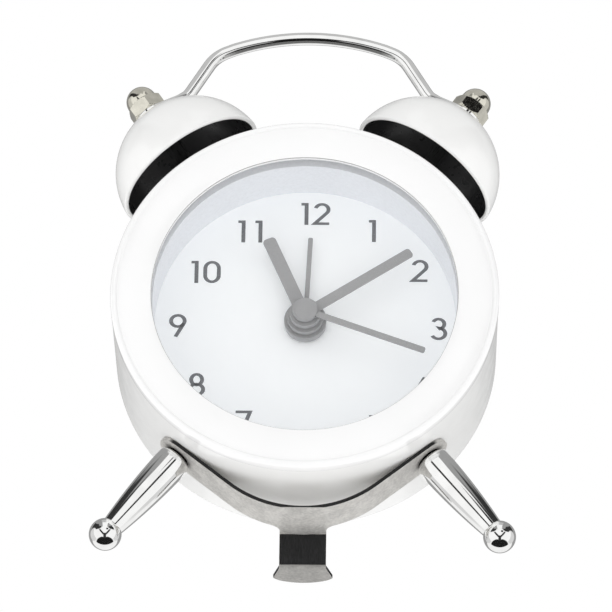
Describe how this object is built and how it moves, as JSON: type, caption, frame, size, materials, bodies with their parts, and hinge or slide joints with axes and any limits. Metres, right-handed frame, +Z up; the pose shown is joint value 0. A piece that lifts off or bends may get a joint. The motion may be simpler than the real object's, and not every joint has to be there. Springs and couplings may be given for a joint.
{
  "type": "twin-bell alarm clock",
  "caption": "Small round analogue alarm clock with a domed white ring, twin bells, a carrying handle, splayed ball-foot legs, a bent rear foot and a quartz movement that turns.",
  "frame": {"origin": "on the table, under the middle of the clock's overall box", "axes": "+X to the right as the dial is seen, +Y to the back, +Z up"},
  "size_m": [0.0652, 0.025, 0.0927],
  "materials": {
    "white_enamel": "gloss",
    "white_ring": "gloss",
    "clear_lens": "polished",
    "well_white": "satin",
    "dial_white": "matt",
    "hand_grey": "satin",
    "bright_chrome": "polished",
    "stand_steel": "satin",
    "plain_steel": "satin",
    "cell_steel": "satin",
    "contact_brass": "satin",
    "coil_copper": "satin",
    "board_green": "matt",
    "movement_black": "satin",
    "wheel_ivory": "satin",
    "rotor_dark": "satin",
    "cover_white": "satin",
    "knob_grey": "satin"
  },
  "bodies": {
    "case": {"alarm_buzzer": "movement_black", "button_cell": "cell_steel", "cap_nuts": "bright_chrome", "carry_handle": "bright_chrome", "case_shell": "white_enamel", "circuit_board": "board_green", "coil_core": "plain_steel", "cover_screws": "plain_steel", "dial_plate": "dial_white", "dial_well": "well_white", "drive_coil": "coil_copper", "front_bezel": "white_ring", "inner_nuts": "plain_steel", "left_bell": "white_enamel", "left_bell_post": "bright_chrome", "left_leg": "bright_chrome", "lens": "clear_lens", "movement_housing": "movement_black", "movement_plate": "movement_black", "negative_contact": "contact_brass", "positive_contact": "contact_brass", "quartz_crystal": "plain_steel", "rear_cover": "cover_white", "right_bell": "white_enamel", "right_bell_post": "bright_chrome", "right_leg": "bright_chrome", "stand_bracket": "stand_steel", "stator": "plain_steel"},
    "seconds": {"seconds_wheel": "wheel_ivory", "second_hand": "hand_grey"},
    "third": {"third_wheel": "wheel_ivory"},
    "centre": {"centre_wheel": "wheel_ivory"},
    "intermediate": {"intermediate_wheel": "wheel_ivory"},
    "step_rotor": {"rotor": "rotor_dark"},
    "minute": {"minute_arbor": "wheel_ivory", "minute_hand": "hand_grey"},
    "motion": {"motion_wheel": "wheel_ivory"},
    "hour": {"hour_wheel": "wheel_ivory", "hour_hand": "hand_grey"},
    "time_setter": {"time_set_arbor": "knob_grey", "time_set_knob": "knob_grey"},
    "alarm": {"alarm_wheel": "wheel_ivory", "alarm_hand": "hand_grey"},
    "alarm_setter": {"alarm_set_arbor": "knob_grey", "alarm_set_knob": "knob_grey"},
    "switch": {"alarm_switch": "knob_grey"},
    "door": {"battery_door": "cover_white"}
  },
  "joints": [
    {"name": "seconds_turn", "type": "hinge", "parent": "case", "child": "seconds", "pos_m": [0, 0, 0.03958], "axis": [0, 1, 0], "continuous": true},
    {"name": "third_turn", "type": "hinge", "parent": "case", "child": "third", "pos_m": [-0.0078, 0, 0.03958], "axis": [0, 1, 0], "continuous": true},
    {"name": "centre_turn", "type": "hinge", "parent": "case", "child": "centre", "pos_m": [0, 0, 0.03958], "axis": [0, 1, 0], "continuous": true},
    {"name": "intermediate_turn", "type": "hinge", "parent": "case", "child": "intermediate", "pos_m": [-0.00267, 0, 0.04691], "axis": [0, 1, 0], "continuous": true},
    {"name": "rotor_turn", "type": "hinge", "parent": "case", "child": "step_rotor", "pos_m": [-0.00786, 0, 0.04991], "axis": [0, 1, 0], "continuous": true},
    {"name": "minute_turn", "type": "hinge", "parent": "case", "child": "minute", "pos_m": [0, 0, 0.03958], "axis": [0, 1, 0], "continuous": true},
    {"name": "motion_turn", "type": "hinge", "parent": "case", "child": "motion", "pos_m": [0.0078, 0, 0.03958], "axis": [0, 1, 0], "continuous": true},
    {"name": "hour_turn", "type": "hinge", "parent": "case", "child": "hour", "pos_m": [0, 0, 0.03958], "axis": [0, 1, 0], "continuous": true},
    {"name": "time_set_turn", "type": "hinge", "parent": "case", "child": "time_setter", "pos_m": [0.0134, 0, 0.04428], "axis": [0, 1, 0], "continuous": true},
    {"name": "alarm_turn", "type": "hinge", "parent": "case", "child": "alarm", "pos_m": [0, 0, 0.03958], "axis": [0, 1, 0], "continuous": true},
    {"name": "alarm_set_turn", "type": "hinge", "parent": "case", "child": "alarm_setter", "pos_m": [0.0042, 0, 0.04685], "axis": [0, 1, 0], "continuous": true},
    {"name": "alarm_switch_slide", "type": "slide", "parent": "case", "child": "switch", "axis": [1, 0, 0], "range_m": [0, 0.0036]},
    {"name": "battery_door_turn", "type": "hinge", "parent": "case", "child": "door", "pos_m": [0, 0.0087, 0.02208], "axis": [0, 1, 0], "range_deg": [0, 45]}
  ],
  "couplings": [
    {"joint": "third_turn", "follows": "seconds_turn", "ratio": -0.13333},
    {"joint": "centre_turn", "follows": "seconds_turn", "ratio": 0.016667},
    {"joint": "intermediate_turn", "follows": "seconds_turn", "ratio": -6},
    {"joint": "rotor_turn", "follows": "seconds_turn", "ratio": 30},
    {"joint": "motion_turn", "follows": "minute_turn", "ratio": -0.33333},
    {"joint": "hour_turn", "follows": "minute_turn", "ratio": 0.083333},
    {"joint": "time_set_turn", "follows": "minute_turn", "ratio": 1.3333},
    {"joint": "alarm_set_turn", "follows": "alarm_turn", "ratio": -2}
  ]
}
